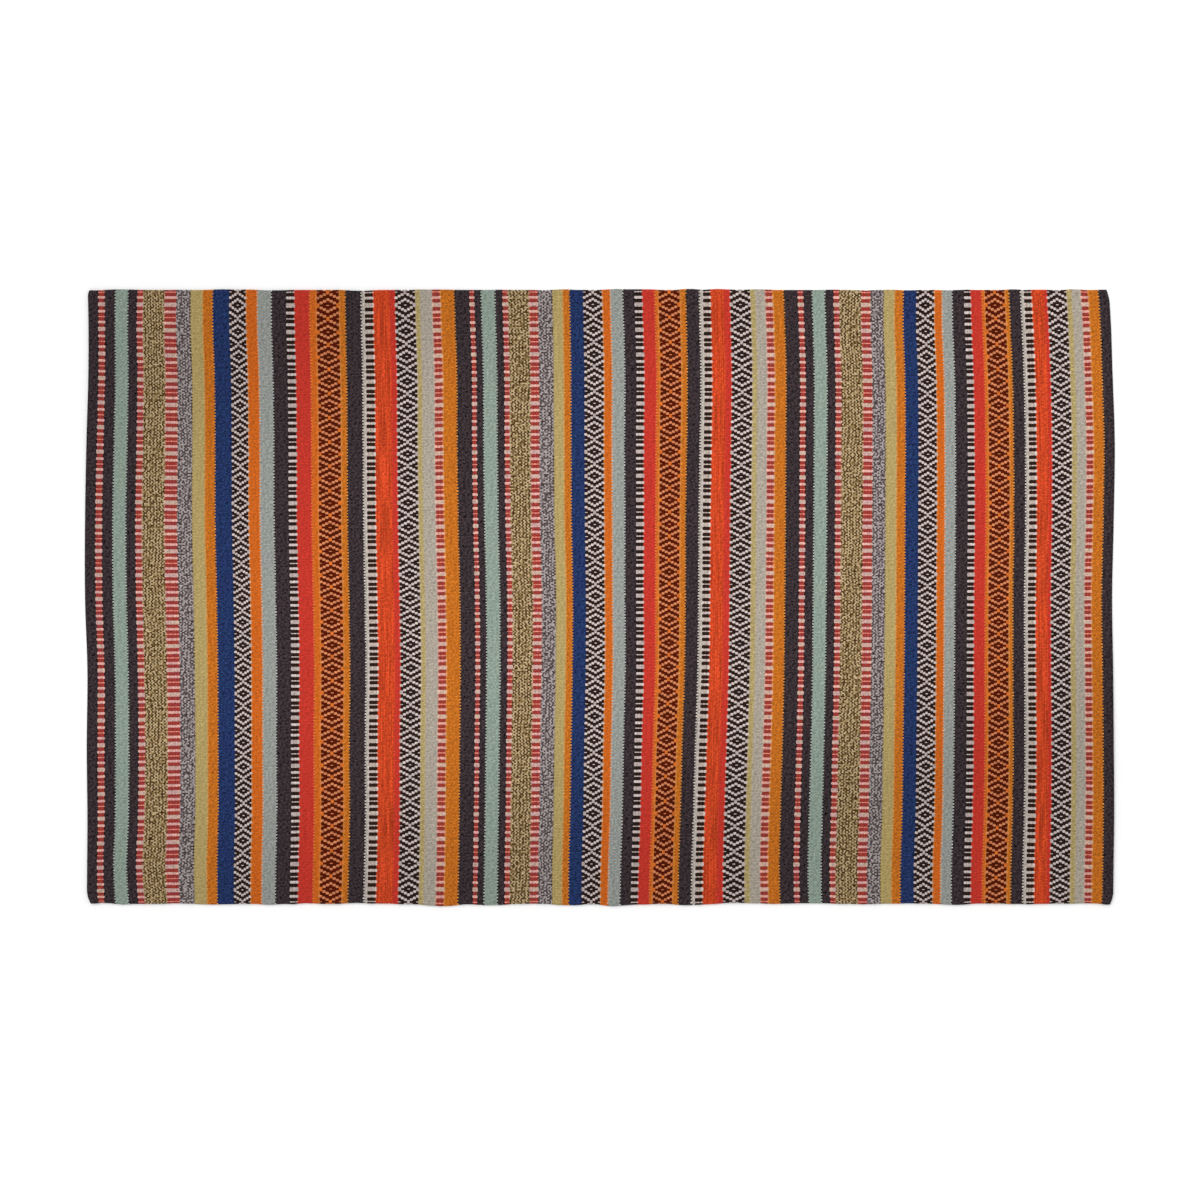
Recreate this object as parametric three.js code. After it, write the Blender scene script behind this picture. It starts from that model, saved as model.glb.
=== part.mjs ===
import * as THREE from "three";

// Flat-woven striped wool rug, lying flat, as one closed solid in millimetres.
// X runs along the length, Y across the width and Z up. The origin is under the rug's middle.
// The weft stripes run across the rug along Y, and the warps along X.

// Driving dimensions
const rugLength = 1524; // end to end, along X
const rugWidth = 912; // selvedge to selvedge, along Y
const clothThickness = 3.6; // plain stripes
const grooveDepth = 0.3; // where two stripes meet
const edgeInset = 1.2; // how far the faces stop short of the rounded rim
const rimShare = 0.5; // height of the rim's widest line, as a share of the thickness
const cornerRow = 25; // distance of the row that ends the corners' pull from the selvedge

// How far each kind of weave stands above the plain stripes
const weaveRise = { plain: 0, dash: 0.3, diamond: 0.5, melange: 0.7, hem: 0.9 };

// The stripes of one repeat in weaving order: their widths in the three repeats, which differ
// because they are beaten in by hand, and how far each stands out at the far selvedge and at the
// near one.
const stripes = [
  { yarn: "charcoal", weave: "plain", widths: [16, 22.5, 21], far: [-1, -0.5, -0.5], near: [-1, 0, -1] },
  { yarn: "coral", weave: "dash", widths: [10, 7, 8.5], far: [-1, -0.5, -0.5], near: [-2.5, 0.5, -1.5] },
  { yarn: "charcoal", weave: "plain", widths: [16, 10, 13], far: [0, -0.5, -0.5], near: [-1.5, 1, -1.5] },
  { yarn: "mint", weave: "plain", widths: [19.5, 20, 19], far: [0.5, -0.5, -0.5], near: [0.5, 1.5, -1.5] },
  { yarn: "charcoal", weave: "plain", widths: [14.5, 11, 12.5], far: [0, 0, 0], near: [-0.5, 1, -1.5] },
  { yarn: "coral", weave: "dash", widths: [10, 8, 9], far: [-0.5, -0.5, 0], near: [-0.5, 0.5, -1] },
  { yarn: "tan", weave: "melange", widths: [33.5, 30, 32], far: [-0.5, -0.5, -0.5], near: [-0.5, -0.5, -0.5] },
  { yarn: "coral", weave: "dash", widths: [19.5, 13.5, 14.5], far: [-0.5, -0.5, -1.5], near: [-1.5, -1, 0] },
  { yarn: "lavender", weave: "melange", widths: [22, 20.5, 19], far: [-0.5, -1, -0.5], near: [-1, -0.5, -0.5] },
  { yarn: "straw", weave: "plain", widths: [19, 15, 16.5], far: [-0.5, 0, 0], near: [0, 1, -1] },
  { yarn: "ochre", weave: "plain", widths: [15.5, 10, 13], far: [-0.5, 1, -0.5], near: [0.5, 1.5, -0.5] },
  { yarn: "navy", weave: "plain", widths: [25.5, 20, 20], far: [0.5, -0.5, -1], near: [0, 1.5, -1.5] },
  { yarn: "black and white", weave: "diamond", widths: [25, 28, 27.5], far: [0, -0.5, -0.5], near: [-0.5, 0, -1] },
  { yarn: "orange", weave: "plain", widths: [16.5, 11.5, 11.5], far: [0, 0, -0.5], near: [-0.5, 2, -0.5] },
  { yarn: "grey blue", weave: "plain", widths: [20.5, 18, 15.5], far: [-1, 1, -1], near: [1, 3, 0.5] },
  { yarn: "charcoal", weave: "plain", widths: [22, 17, 18.5], far: [-1, 0.5, -0.5], near: [-0.5, 1.5, 1] },
  { yarn: "black and white", weave: "dash", widths: [12, 11, 10], far: [-0.5, 0.5, 0], near: [0, 0.5, 0] },
  { yarn: "red", weave: "plain", widths: [22, 17.5, 16.5], far: [-0.5, 0.5, -0.5], near: [-1.5, 0.5, -1] },
  { yarn: "orange", weave: "plain", widths: [9.5, 4.5, 4], far: [-0.5, 0, -0.5], near: [-1, 0, -1] },
  { yarn: "orange and black", weave: "diamond", widths: [34.5, 31.5, 31.5], far: [-0.5, -0.5, -0.5], near: [-0.5, -0.5, -1] },
  { yarn: "ochre", weave: "plain", widths: [8.5, 8, 5.5], far: [0, 1, 0], near: [-1, 0.5, 0] },
  { yarn: "charcoal", weave: "plain", widths: [24, 20, 17.5], far: [-1.5, 1, 0.5], near: [-2, 1.5, -0.5] },
  { yarn: "pale grey", weave: "plain", widths: [4.5, 4.5, 4], far: [-2, -0.5, -0.5], near: [-1.5, 1, 0] },
  { yarn: "black and grey", weave: "dash", widths: [14, 12.5, 12.5], far: [-1.5, 0, -0.5], near: [-1, 1, 0] },
  { yarn: "vermilion", weave: "plain", widths: [24.5, 19.5, 17.5], far: [-0.5, 1, 0], near: [-1, 0, -0.5] },
  { yarn: "red", weave: "plain", widths: [8, 9, 4.5], far: [-0.5, 0.5, 0], near: [-0.5, -1, -0.5] },
  { yarn: "black and white", weave: "diamond", widths: [31.5, 32, 29.5], far: [-0.5, 0, -0.5], near: [0, -2, -1] },
  { yarn: "straw", weave: "plain", widths: [6.5, 7, 7], far: [0.5, 0.5, 0.5], near: [0.5, -1.5, -0.5] },
  { yarn: "greige", weave: "plain", widths: [18, 14.5, 13], far: [0, 0.5, 1], near: [2, -1.5, -1.5] },
  { yarn: "coral", weave: "dash", widths: [13, 12, 11], far: [0, 0, -0.5], near: [3, -1, -1.5] },
  { yarn: "ochre", weave: "plain", widths: [20.5, 16.5, 15], far: [0, -0.5, -0.5], near: [2.5, -0.5, -1] },
];
const repeats = 3;
const closingStripe = { yarn: "charcoal", weave: "hem", width: 16, far: 0, near: 0.5 };

// How the weft lines lean out of straight. at is the line's distance from the left end, and lean
// is its shift along X at each of these heights above the middle.
const heights = [456, 340, 230, 120, 0, -110, -220, -330, -456];
const weftLines = [
  { at: 0, lean: [4, 5, 2, 0, 0, 3.5, 2.5, 3.5, 2.5] },
  { at: 40, lean: [2.5, 3.5, 1.5, -0.5, 0, 3, 3.5, 3, 0] },
  { at: 194, lean: [-7.5, -3.5, -2.5, -2.5, 0, 1.5, 2, 2, -0.5] },
  { at: 392, lean: [-7, -3.5, -2.5, -2, 0, 1.5, 0.5, 1, -2] },
  { at: 556, lean: [-9, -4.5, -4, -2.5, 0, 1, 0, -1, -3] },
  { at: 724, lean: [-4.5, -3, -2.5, -2, 0, -0.5, -2.5, -4, -7.5] },
  { at: 803, lean: [-3.5, 0, -0.5, 0, 0, 0.5, -2, -4, -8.5] },
  { at: 890, lean: [0, 3, 2, 0.5, 0, -1, -4.5, -7.5, -11] },
  { at: 1039, lean: [-2, 2, 1.5, 1, 0, -1, -3.5, -6.5, -9] },
  { at: 1217, lean: [-4, 0, 1, 0.5, 0, -1, -2.5, -4, -8.5] },
  { at: 1377, lean: [-7, -1, 1, 1.5, 0, 0, 0.5, -1, -4.5] },
  { at: 1524, lean: [-5, 0.5, 4, 2.5, 0, 1.5, 2.5, 3, -0.5] },
];

// Each corner is drawn in along the length by pull, which fades out over reach.
const corners = [
  { end: 0, side: 1, pull: 2.5, reach: 10 },
  { end: 0, side: -1, pull: 6, reach: 24 },
  { end: 1, side: 1, pull: 3.5, reach: 20 },
  { end: 1, side: -1, pull: 5, reach: 20 },
];

// Straight-line value between the two entries of a rising list that hold the place
function between(places, values, place) {
  let i = 1;
  while (i < places.length - 1 && places[i] < place) i += 1;
  const share = (place - places[i - 1]) / (places[i] - places[i - 1]);
  return THREE.MathUtils.lerp(values[i - 1], values[i], share);
}

const linePlaces = weftLines.map((line) => line.at);
const risingHeights = [...heights].reverse();

function leanAt(x, y) {
  const leans = weftLines.map((line) => between(risingHeights, [...line.lean].reverse(), y));
  return between(linePlaces, leans, x);
}

function cornerPull(x, y) {
  let shift = 0;
  for (const corner of corners) {
    const along = 1 - Math.abs(x - corner.end * rugLength) / corner.reach;
    const across = 1 - Math.abs(y - (corner.side * rugWidth) / 2) / corner.reach;
    const inward = corner.end === 0 ? 1 : -1;
    shift += inward * corner.pull * Math.max(along, 0) * Math.max(across, 0) ** 2;
  }
  return shift;
}

// The columns of the surface: one at each line between two stripes and one up each stripe's middle
function makeColumns() {
  const bands = [];
  for (let repeat = 0; repeat < repeats; repeat += 1) {
    for (const stripe of stripes) {
      const { weave, widths, far, near } = stripe;
      bands.push({ weave, width: widths[repeat], far: far[repeat], near: near[repeat] });
    }
  }
  bands[0].weave = "hem";
  bands.push(closingStripe);
  const columns = [{ x: 0, rise: -grooveDepth, far: bands[0].far, near: bands[0].near }];
  let x = 0;
  bands.forEach((band, i) => {
    const next = bands[i + 1] ?? band;
    const rise = weaveRise[band.weave];
    columns.push({ x: x + band.width / 2, rise, far: band.far, near: band.near });
    x += band.width;
    columns.push({
      x,
      rise: Math.min(rise, weaveRise[next.weave]) - grooveDepth,
      far: (band.far + next.far) / 2,
      near: (band.near + next.near) / 2,
    });
  });
  return columns;
}

function makeRows() {
  const edge = rugWidth / 2;
  return [...heights, edge - cornerRow, cornerRow - edge].sort((a, b) => a - b);
}

// A closed sheet: a grid of points for the top, one for the underside, and a rim line between them
function makeRug() {
  const columns = makeColumns();
  const rows = makeRows();
  const lastColumn = columns.length - 1;
  const lastRow = rows.length - 1;
  const points = [];
  const faces = [];

  const outlinePoint = (c, r) => {
    const { x, far, near } = columns[c];
    const y = rows[r];
    let stand = 0;
    if (r === lastRow) stand = far;
    if (r === 0) stand = -near;
    return [x + leanAt(x, y) + cornerPull(x, y), y + stand];
  };
  const addPoint = (x, y, z) => points.push(x, y, z) / 3 - 1;
  const insetOf = (index, last) => (index === 0 ? edgeInset : index === last ? -edgeInset : 0);

  const top = [];
  const underside = [];
  const rim = [];
  for (let c = 0; c <= lastColumn; c += 1) {
    top.push([]);
    underside.push([]);
    rim.push([]);
    for (let r = 0; r <= lastRow; r += 1) {
      const [x, y] = outlinePoint(c, r);
      const inX = x + insetOf(c, lastColumn);
      const inY = y + insetOf(r, lastRow);
      const thickness = clothThickness + columns[c].rise;
      top[c].push(addPoint(inX, inY, thickness));
      underside[c].push(addPoint(inX, inY, 0));
      const onRim = c === 0 || c === lastColumn || r === 0 || r === lastRow;
      rim[c].push(onRim ? addPoint(x, y, clothThickness * rimShare) : -1);
    }
  }

  const quad = (a, b, c, d) => faces.push(a, b, c, a, c, d);
  for (let c = 0; c < lastColumn; c += 1) {
    for (let r = 0; r < lastRow; r += 1) {
      quad(top[c][r], top[c + 1][r], top[c + 1][r + 1], top[c][r + 1]);
      quad(underside[c][r], underside[c][r + 1], underside[c + 1][r + 1], underside[c + 1][r]);
    }
  }

  // Once round the border, anticlockwise seen from above
  const border = [];
  for (let c = 0; c < lastColumn; c += 1) border.push([c, 0]);
  for (let r = 0; r < lastRow; r += 1) border.push([lastColumn, r]);
  for (let c = lastColumn; c > 0; c -= 1) border.push([c, lastRow]);
  for (let r = lastRow; r > 0; r -= 1) border.push([0, r]);
  border.forEach(([c, r], i) => {
    const [nextC, nextR] = border[(i + 1) % border.length];
    quad(rim[c][r], rim[nextC][nextR], top[nextC][nextR], top[c][r]);
    quad(underside[c][r], underside[nextC][nextR], rim[nextC][nextR], rim[c][r]);
  });

  const geometry = new THREE.BufferGeometry();
  geometry.setAttribute("position", new THREE.Float32BufferAttribute(points, 3));
  geometry.setIndex(faces);
  geometry.computeBoundingBox();
  const middle = geometry.boundingBox.getCenter(new THREE.Vector3());
  geometry.translate(-middle.x, -middle.y, 0);
  geometry.computeVertexNormals();
  return geometry;
}

// The average of all the stripes, matt wool
const wool = new THREE.MeshStandardMaterial({ color: 0x8b5f45, roughness: 0.95, metalness: 0 });

const rug = new THREE.Mesh(makeRug(), wool);
rug.name = "rug";

const model = new THREE.Group();
model.add(rug);

export default model;
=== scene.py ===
# Striped wool flatweave rug lying flat on a white floor, seen from straight above.
# Its stripes are weft yarns and run along Y, its warps run along X.
import math

import bpy
import numpy as np
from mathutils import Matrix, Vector


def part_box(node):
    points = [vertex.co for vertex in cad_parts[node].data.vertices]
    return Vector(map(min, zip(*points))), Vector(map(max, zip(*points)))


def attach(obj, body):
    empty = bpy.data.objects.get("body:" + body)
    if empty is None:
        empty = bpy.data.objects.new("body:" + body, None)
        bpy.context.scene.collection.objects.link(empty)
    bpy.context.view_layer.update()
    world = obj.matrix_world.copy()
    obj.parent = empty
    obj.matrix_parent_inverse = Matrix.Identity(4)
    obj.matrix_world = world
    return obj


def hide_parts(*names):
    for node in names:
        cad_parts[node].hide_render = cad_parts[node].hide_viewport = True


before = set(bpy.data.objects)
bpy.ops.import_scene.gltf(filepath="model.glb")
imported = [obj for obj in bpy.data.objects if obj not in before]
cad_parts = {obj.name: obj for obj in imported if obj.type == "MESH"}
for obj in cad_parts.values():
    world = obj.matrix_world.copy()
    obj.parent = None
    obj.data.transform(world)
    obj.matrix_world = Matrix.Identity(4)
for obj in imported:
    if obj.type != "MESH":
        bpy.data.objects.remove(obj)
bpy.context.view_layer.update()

mm = 0.001
solidLow, solidHigh = (np.array(corner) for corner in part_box("rug"))  # the solid that the woven rug replaces
print("frame loaded, solid from", solidLow.round(4), "to", solidHigh.round(4))


# Camera

camera = {
    "lens": 100,  # long, so that the rug shows no perspective
    "sensor": 36,
    "framePixels": 1200,
    "metresPerPixel": 1.483 * mm,
    "farthest": 100,  # metres that it sees
    "rugMiddlePixel": (599.8, 597.6),  # where the middle of the rug's box lies in the photo
}


def makeCamera(settings):
    # Straight above, at the height from which the lens sees framePixels times metresPerPixel
    seen = settings["framePixels"] * settings["metresPerPixel"]
    middle = settings["framePixels"] / 2
    pixelX, pixelY = settings["rugMiddlePixel"]
    data = bpy.data.cameras.new("camera")
    data.lens = settings["lens"]
    data.sensor_width = settings["sensor"]
    data.clip_end = settings["farthest"]
    made = bpy.data.objects.new("camera", data)
    made.location = (
        (middle - pixelX) * settings["metresPerPixel"],
        (pixelY - middle) * settings["metresPerPixel"],
        solidHigh[2] + seen * settings["lens"] / settings["sensor"],
    )
    bpy.context.scene.collection.objects.link(made)
    bpy.context.scene.camera = made


makeCamera(camera)
print("camera made")


# The woven rug: what a user would change, in millimetres unless a note says otherwise

cloth = {
    "length": 1524,
    "width": 912,
    "repeats": 3,
    "thickness": 3.6,  # of the plain stripes
    "warps": 403,
    "warpsPerDiamond": 16,
    "firstDiamond": 9.5,  # warps from the near selvedge to the middle of the first diamond
    "pickPitch": 1.3,
    "diamondColumns": 7,  # the floats of a diamond band lie in this many columns, those of a dash band in one
    "picksPerColumn": 3,
    "groove": 0.3,  # where two stripes meet
    "toothDepth": 0.4,  # the zigzag between two plain stripes, one tooth for every second warp
    "toothPicks": 0.6,  # how far each stripe's side floats lie over the other one beyond the zigzag
    "floatBulge": 0.6,  # how far the light floats push past the edge of their band
    "floatRise": 0.35,
    "ripple": 0.2,  # of the whole cloth
    "rippleWaves": dict(alongX=97, alongY=141, skew=260, bendAlongY=83, bend=0.6),  # see topRelief
    "edgeRound": 1.8,
    "rimLines": (0.3, 1.1),  # from each end to the extra lines of points on its rounding
    "rimWarp": 0.15,  # warps from each selvedge to the extra row of points on its rounding
    "selvedgeReach": 22,  # where a stripe's scallop at the selvedge has died out
    "undersideStep": 16,  # warps between two rows of points on the underside
}
weaveRise = {"plain": 0, "dash": 0.3, "diamond": 0.5, "melange": 0.7, "hem": 0.9}  # above the plain stripes
cellsAcross = {"plain": 2, "dash": 2, "diamond": cloth["diamondColumns"], "melange": 3, "hem": 2}
edgeColumn = cloth["diamondColumns"] // 2  # a diamond band's columns count from 0 in its middle to this
narrowStripe = 14  # a plain stripe narrower than this has one cell

# One repeat in weaving order. A column in brackets has a value for each of the three repeats: the width,
# and how far the stripe stands out at the far and at the near selvedge.
stripeColumns = ("yarn", "weave", "width", "far", "near")
stripes = [
    ("charcoal", "plain", (16, 22.5, 21), (-1, -0.5, -0.5), (-1, 0, -1)),
    ("coral", "dash", (10, 7, 8.5), (-1, -0.5, -0.5), (-2.5, 0.5, -1.5)),
    ("charcoal", "plain", (16, 10, 13), (0, -0.5, -0.5), (-1.5, 1, -1.5)),
    ("mint", "plain", (19.5, 20, 19), (0.5, -0.5, -0.5), (0.5, 1.5, -1.5)),
    ("charcoal", "plain", (14.5, 11, 12.5), (0, 0, 0), (-0.5, 1, -1.5)),
    ("coral", "dash", (10, 8, 9), (-0.5, -0.5, 0), (-0.5, 0.5, -1)),
    ("tan", "melange", (33.5, 30, 32), (-0.5, -0.5, -0.5), (-0.5, -0.5, -0.5)),
    ("coral", "dash", (19.5, 13.5, 14.5), (-0.5, -0.5, -1.5), (-1.5, -1, 0)),
    ("lavender", "melange", (22, 20.5, 19), (-0.5, -1, -0.5), (-1, -0.5, -0.5)),
    ("straw", "plain", (19, 15, 16.5), (-0.5, 0, 0), (0, 1, -1)),
    ("ochre", "plain", (15.5, 10, 13), (-0.5, 1, -0.5), (0.5, 1.5, -0.5)),
    ("navy", "plain", (25.5, 20, 20), (0.5, -0.5, -1), (0, 1.5, -1.5)),
    ("blackWhite", "diamond", (25, 28, 27.5), (0, -0.5, -0.5), (-0.5, 0, -1)),
    ("orange", "plain", (16.5, 11.5, 11.5), (0, 0, -0.5), (-0.5, 2, -0.5)),
    ("greyBlue", "plain", (20.5, 18, 15.5), (-1, 1, -1), (1, 3, 0.5)),
    ("charcoal", "plain", (22, 17, 18.5), (-1, 0.5, -0.5), (-0.5, 1.5, 1)),
    ("blackWhite", "dash", (12, 11, 10), (-0.5, 0.5, 0), (0, 0.5, 0)),
    ("red", "plain", (22, 17.5, 16.5), (-0.5, 0.5, -0.5), (-1.5, 0.5, -1)),
    ("orange", "plain", (9.5, 4.5, 4), (-0.5, 0, -0.5), (-1, 0, -1)),
    ("blackOrange", "diamond", (34.5, 31.5, 31.5), (-0.5, -0.5, -0.5), (-0.5, -0.5, -1)),
    ("ochre", "plain", (8.5, 8, 5.5), (0, 1, 0), (-1, 0.5, 0)),
    ("charcoal", "plain", (24, 20, 17.5), (-1.5, 1, 0.5), (-2, 1.5, -0.5)),
    ("paleGrey", "plain", (4.5, 4.5, 4), (-2, -0.5, -0.5), (-1.5, 1, 0)),
    ("blackGrey", "dash", (14, 12.5, 12.5), (-1.5, 0, -0.5), (-1, 1, 0)),
    ("vermilion", "plain", (24.5, 19.5, 17.5), (-0.5, 1, 0), (-1, 0, -0.5)),
    ("red", "plain", (8, 9, 4.5), (-0.5, 0.5, 0), (-0.5, -1, -0.5)),
    ("blackWhite", "diamond", (31.5, 32, 29.5), (-0.5, 0, -0.5), (0, -2, -1)),
    ("dullStraw", "plain", (6.5, 7, 7), (0.5, 0.5, 0.5), (0.5, -1.5, -0.5)),
    ("greige", "plain", (18, 14.5, 13), (0, 0.5, 1), (2, -1.5, -1.5)),
    ("warmCoral", "dash", (13, 12, 11), (0, 0, -0.5), (3, -1, -1.5)),
    ("ochre", "plain", (20.5, 16.5, 15), (0, -0.5, -0.5), (2.5, -0.5, -1)),
]
closingStripe = dict(yarn="charcoal", weave="hem", width=16, far=0, near=0.5)

# How the weft lines lean out of straight: at is the line's distance from the left end, and lean is its
# shift along X at each of the heights above the middle.
leanHeights = (456, 410, 340, 230, 120, 0, -110, -220, -330, -405, -456)
weftLines = [
    dict(at=0, lean=(4, 5, 5, 2, 0, 0, 3.5, 2.5, 3.5, 3, 2.5)),
    dict(at=40, lean=(3.5, 3, 3.5, 1.5, -0.5, 0, 3, 3.5, 3, 1, 3.5)),
    dict(at=194, lean=(-6, -6, -3.5, -2.5, -2.5, 0, 1.5, 2, 2, 0.5, 1)),
    dict(at=392, lean=(-5.5, -5, -3.5, -2.5, -2, 0, 1.5, 0.5, 1, -0.5, -2)),
    dict(at=556, lean=(-8.5, -7, -4.5, -4, -2.5, 0, 1, 0, -1, -2, -3)),
    dict(at=724, lean=(-5, -4, -3, -2.5, -2, 0, -0.5, -2.5, -4, -6, -6)),
    dict(at=803, lean=(-3.5, -2, 0, -0.5, 0, 0, 0.5, -2, -4, -6.5, -7.5)),
    dict(at=890, lean=(0.5, 1.5, 3, 2, 0.5, 0, -1, -4.5, -7.5, -10, -11)),
    dict(at=1039, lean=(-2, 0, 2, 1.5, 1, 0, -1, -3.5, -6.5, -8, -7)),
    dict(at=1217, lean=(-2, -2.5, 0, 1, 0.5, 0, -1, -2.5, -4, -6.5, -6.5)),
    dict(at=1377, lean=(-6.5, -4, -1, 1, 1.5, 0, 0, 0.5, -1, -3, -3.5)),
    dict(at=1524, lean=(-5, -2, 0.5, 4, 2.5, 0, 1.5, 2.5, 3, 2, 1.5)),
]

# How the warps sway out of an even spacing: sway is their shift along Y at each of the heights
swayHeights = (456, 400, 300, 200, 100, 0, -100, -200, -300, -400, -456)
warpLines = [
    dict(at=0, sway=(0, -0.5, -0.5, -1.5, -4, -3, -0.5, -3, -3.5, -3.5, 0)),
    dict(at=110, sway=(0, -2.5, -4.5, -4, -5, -3, 0, -1, -0.5, -2, 0)),
    dict(at=230, sway=(0, -4.5, -5.5, -5.5, -6, -3, 1.5, 1, 2, 0, 0)),
    dict(at=360, sway=(0, -5.5, -6, -5.5, -5.5, -2.5, 2, 2.5, 4.5, 3, 0)),
    dict(at=480, sway=(0, -4, -6.5, -5, -5, -1.5, 3, 3.5, 5, 3, 0)),
    dict(at=600, sway=(0, -1.5, -3, -2.5, -3, 0.5, 4.5, 3.5, 4, 1, 0)),
    dict(at=720, sway=(0, -1.5, -2.5, -2, -1.5, 1, 4.5, 4, 5, 2.5, 0)),
    dict(at=850, sway=(0, -2, -3, -1.5, -0.5, 2, 5, 4.5, 5.5, 1, 0)),
    dict(at=960, sway=(0, -2, -4, -3, -2, 1, 4, 3.5, 4.5, 2, 0)),
    dict(at=1110, sway=(0, -3, -4.5, -4, -4, -1, 2, 1.5, 3, 1, 0)),
    dict(at=1280, sway=(0, -4.5, -7, -5.5, -5, -1.5, 1, 1, 3, 1, 0)),
    dict(at=1400, sway=(0, -4, -5, -4.5, -4.5, -2.5, 0.5, 0.5, 2, 0, 0)),
    dict(at=1524, sway=(0, -0.5, -2, -2, -3.5, -1.5, 0.5, -1.5, -2, -3, 0)),
]

# Each corner is drawn in along the length by pull, which fades out over reach
corners = [
    dict(end=0, side=1, pull=2.5, reach=10),
    dict(end=0, side=-1, pull=6, reach=24),
    dict(end=1, side=1, pull=3.5, reach=20),
    dict(end=1, side=-1, pull=5, reach=20),
]


def curveThrough(places, values, at):
    # Hermite cubic through values[k] at places[k], with each slope the mean of its neighbours' slopes:
    # h00 a + h10 d ma + h01 b + h11 d mb, on the last axis of values
    places, values = np.asarray(places, float), np.asarray(values, float)
    slopes = np.gradient(values, places, axis=-1)
    k = np.clip(np.searchsorted(places, at) - 1, 0, len(places) - 2)
    step = places[k + 1] - places[k]
    t = np.clip((at - places[k]) / step, 0, 1)
    return (
        (2 * t**3 - 3 * t**2 + 1) * values[..., k]
        + (t**3 - 2 * t**2 + t) * step * slopes[..., k]
        + (3 * t**2 - 2 * t**3) * values[..., k + 1]
        + (t**3 - t**2) * step * slopes[..., k + 1]
    )


def shiftAt(lines, key, lineHeights, x, y):
    # The shift that a table gives on column line c and row r: the curve through the heights of each of its
    # lines, and then the curve through the lines
    alongRows = curveThrough(-np.array(lineHeights), [line[key] for line in lines], -y)
    return curveThrough([line["at"] for line in lines], alongRows.T, x).T


def isLight(column, warp):
    # The diamond chart: light where (distance from the diamond's middle in warps + column - 2.5) mod 4 < 2,
    # column being 0 in the middle of the band and edgeColumn at its edges, and edgeColumn in a dash band.
    half = cloth["warpsPerDiamond"] / 2
    away = np.abs((warp - cloth["firstDiamond"] + half) % (2 * half) - half)
    return (away + column - 2.5) % 4 < 2


def layBands():
    # The stripes of the repeats and the closing one, each with its start along the length, its picks, its
    # cells and its rise. The picks of a patterned band fill whole columns.
    bands = []
    for repeat in range(cloth["repeats"]):
        for row in stripes:
            values = (value[repeat] if isinstance(value, tuple) else value for value in row)
            bands.append(dict(zip(stripeColumns, values)))
    bands[0]["weave"] = "hem"
    bands.append(dict(closingStripe))
    start, firstPick = 0, 0
    for band in bands:
        band["start"], band["firstPick"] = start, firstPick
        floatColumns = {"dash": 1, "diamond": cloth["diamondColumns"]}.get(band["weave"], 0)
        whole = max(1, floatColumns * cloth["picksPerColumn"])
        band["picks"] = max(1, round(band["width"] / cloth["pickPitch"] / whole)) * whole
        narrow = band["weave"] == "plain" and band["width"] < narrowStripe
        band["cells"] = 1 if narrow else cellsAcross[band["weave"]]
        band["rise"] = weaveRise[band["weave"]]
        start += band["width"]
        firstPick += band["picks"]
    return bands


def layColumns(bands):
    # One column of points at every line between two cells, with extra ones where the ends round off
    cells = []
    for number, band in enumerate(bands):
        shares = np.linspace(0, 1, band["cells"] + 1)
        extra = np.array(cloth["rimLines"]) / band["width"]
        if number == 0:
            shares = np.insert(shares, 1, extra)
        if number == len(bands) - 1:
            shares = np.insert(shares, -1, 1 - extra[::-1])
        for low, high in zip(shares, shares[1:]):
            cells.append((number, low, high))
    number, low, high = (np.array(row) for row in zip(*cells))
    keys = ("start", "width", "firstPick", "picks")
    start, width, firstPick, picks = (np.array([band[key] for band in bands])[number] for key in keys)
    return dict(
        x=np.append(start + low * width, cloth["length"]),
        band=number,  # of each cell, as are the next five
        middle=(low + high) / 2,
        firstPick=firstPick,
        picks=picks,
        uLow=low * picks,  # picks from the stripe's left side
        uHigh=high * picks,
    )


def bandValues(bands, columns, key):
    # A value that each band has, on each column line: the mean of the bands of the cells beside it
    own = np.array([band[key] for band in bands], float)[columns["band"]]
    padded = np.concatenate([own[:1], own, own[-1:]])
    return (padded[:-1] + padded[1:]) / 2


def outline(columns, y):
    # Where each column line c crosses each row r: x + lean(x, y) + corner pull, as a grid
    x = columns["x"]
    grid = x[:, None] + shiftAt(weftLines, "lean", leanHeights, x, y)
    for corner in corners:
        along = 1 - np.abs(x - corner["end"] * cloth["length"]) / corner["reach"]
        across = 1 - np.abs(y - corner["side"] * cloth["width"] / 2) / corner["reach"]
        inward = 1 - 2 * corner["end"]
        grid += inward * corner["pull"] * np.clip(along, 0, 1)[:, None] * np.clip(across, 0, 1) ** 2
    return grid


def edgeTeeth(bands, columns, warp):
    # The zigzag of each line between two bands: toothDepth times +1 or -1 on alternate warps between
    # plain bands, and out of a patterned band by floatBulge wherever its edge column is light
    weaves = np.array([band["weave"] for band in bands])[columns["band"]]
    left, right = weaves[:-1], weaves[1:]
    between = columns["band"][:-1] != columns["band"][1:]
    drawn = np.isin([left, right], ("dash", "diamond"))
    parity = 1 - 2 * (np.floor(warp) % 2)
    bulge = 2 * isLight(edgeColumn, warp) - 1
    side = drawn[0].astype(float) - drawn[1]
    plain = between & ~drawn.any(0)
    shift = np.zeros((len(columns["x"]), len(warp)))
    shift[1:-1] = (
        plain[:, None] * cloth["toothDepth"] * parity
        + (between * side)[:, None] * cloth["floatBulge"] * bulge
    )
    return shift


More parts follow.
